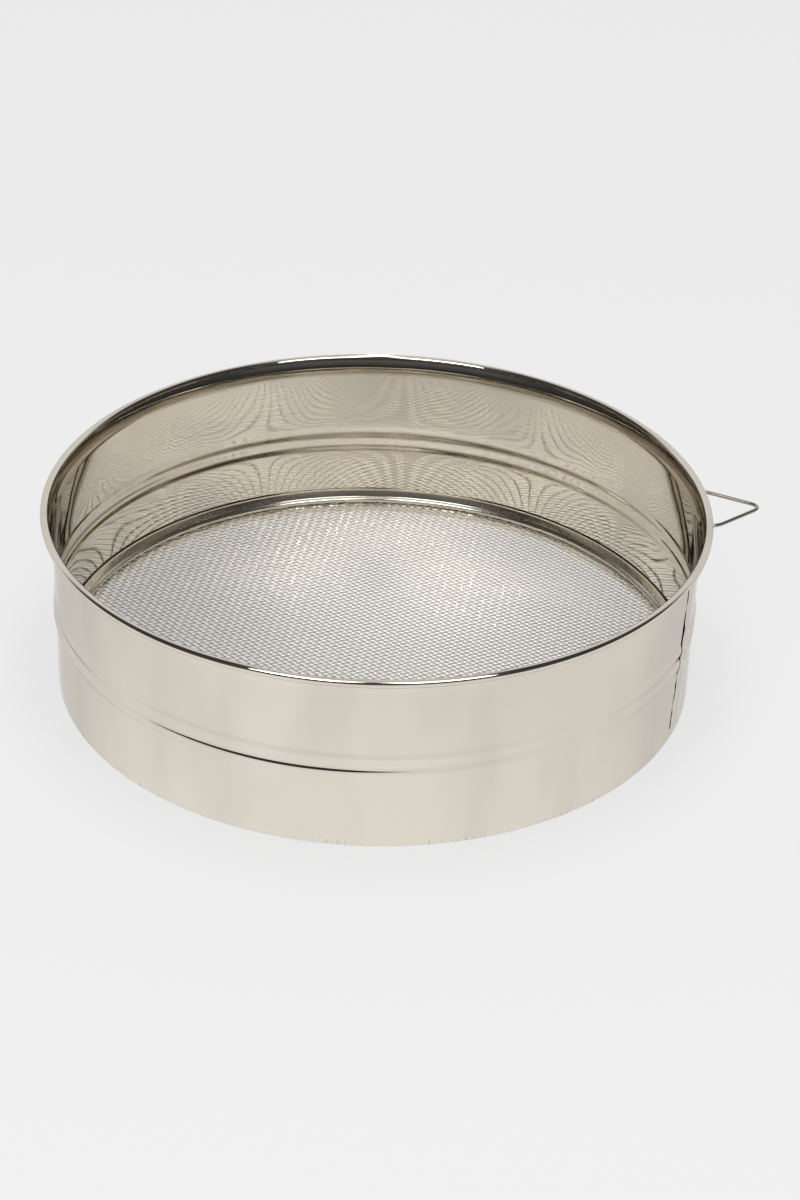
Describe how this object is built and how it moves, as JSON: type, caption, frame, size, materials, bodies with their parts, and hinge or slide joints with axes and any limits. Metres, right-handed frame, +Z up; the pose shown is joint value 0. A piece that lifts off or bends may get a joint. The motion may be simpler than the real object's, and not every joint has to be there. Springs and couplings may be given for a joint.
{
  "type": "drum sieve",
  "caption": "Round polished steel drum sieve with a rolled rim, a rib round its wall, a coarse woven screen held by a ring, and a hinged wire hanging loop.",
  "frame": {"origin": "centre of the screen's upper face, on the drum's axis, about 5 mm above the lower edge that stands on the table", "axes": "+Z up along the drum's axis, out of the open top; +X from the axis towards the hanging loop"},
  "size_m": [0.3251, 0.3, 0.085],
  "materials": {
    "polished_sheet": "mirror-polished stainless sheet",
    "polished_ring": "polished stainless strip",
    "woven_cloth": "drawn bright stainless wire, woven",
    "loop_steel": "drawn bright stainless wire and strip",
    "hidden_wire": "drawn steel wire"
  },
  "bodies": {
    "drum": {"drum_wall": "polished_sheet", "rim_wire": "hidden_wire", "mesh_screen": "woven_cloth", "screen_ring": "polished_ring", "loop_clip": "loop_steel"},
    "loop": {"hanging_loop": "loop_steel"}
  },
  "joints": [
    {"name": "loop_hinge", "type": "hinge", "parent": "drum", "child": "loop", "pos_m": [0.1469, 0, 0.07108], "axis": [0, -1, 0], "range_deg": [-90, 50]}
  ]
}
